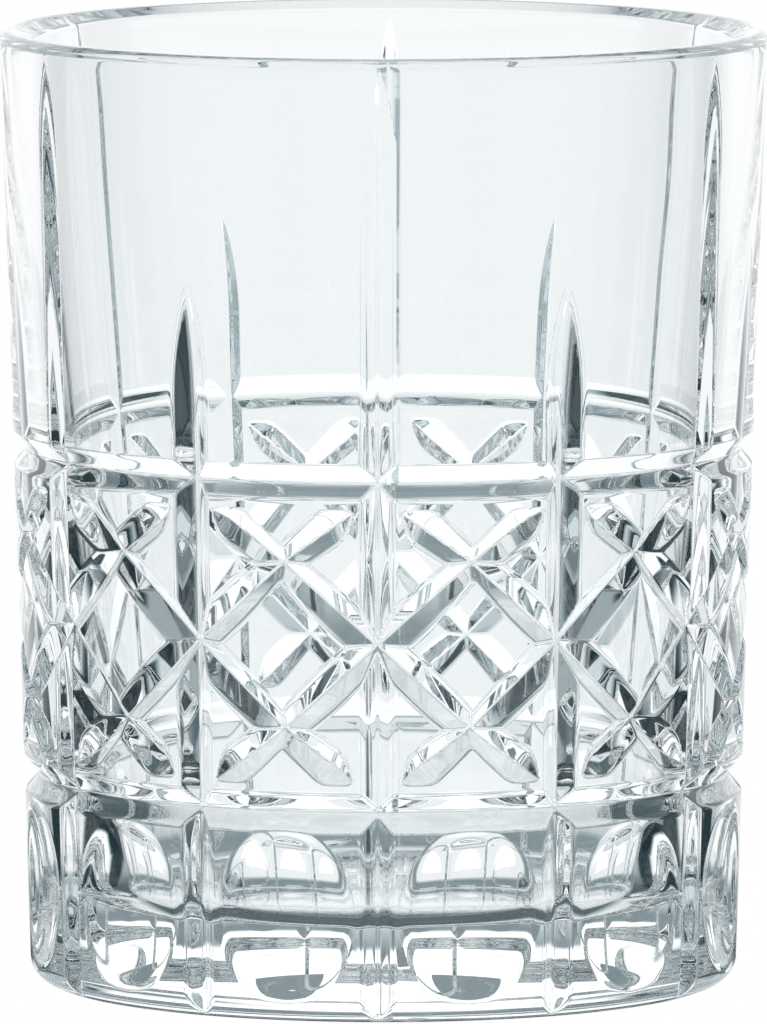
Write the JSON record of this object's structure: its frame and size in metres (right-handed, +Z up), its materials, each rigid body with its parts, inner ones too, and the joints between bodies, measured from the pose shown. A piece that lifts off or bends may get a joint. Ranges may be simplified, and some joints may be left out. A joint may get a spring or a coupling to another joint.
{
  "type": "whiskey tumbler",
  "caption": "Heavy clear glass tumbler with a tapered round wall, upright and slanted V cuts, two ring cuts, oval hollows round the foot and a thick base",
  "frame": {"origin": "centre of the foot, on the plane that the glass stands on", "axes": "+Z up along the glass's axis; -Y faces a tall upright cut"},
  "size_m": [0.0818, 0.0818, 0.102],
  "materials": {
    "clear_glass": "polished"
  },
  "bodies": {
    "root": {"tumbler_glass": "clear_glass"}
  },
  "joints": []
}
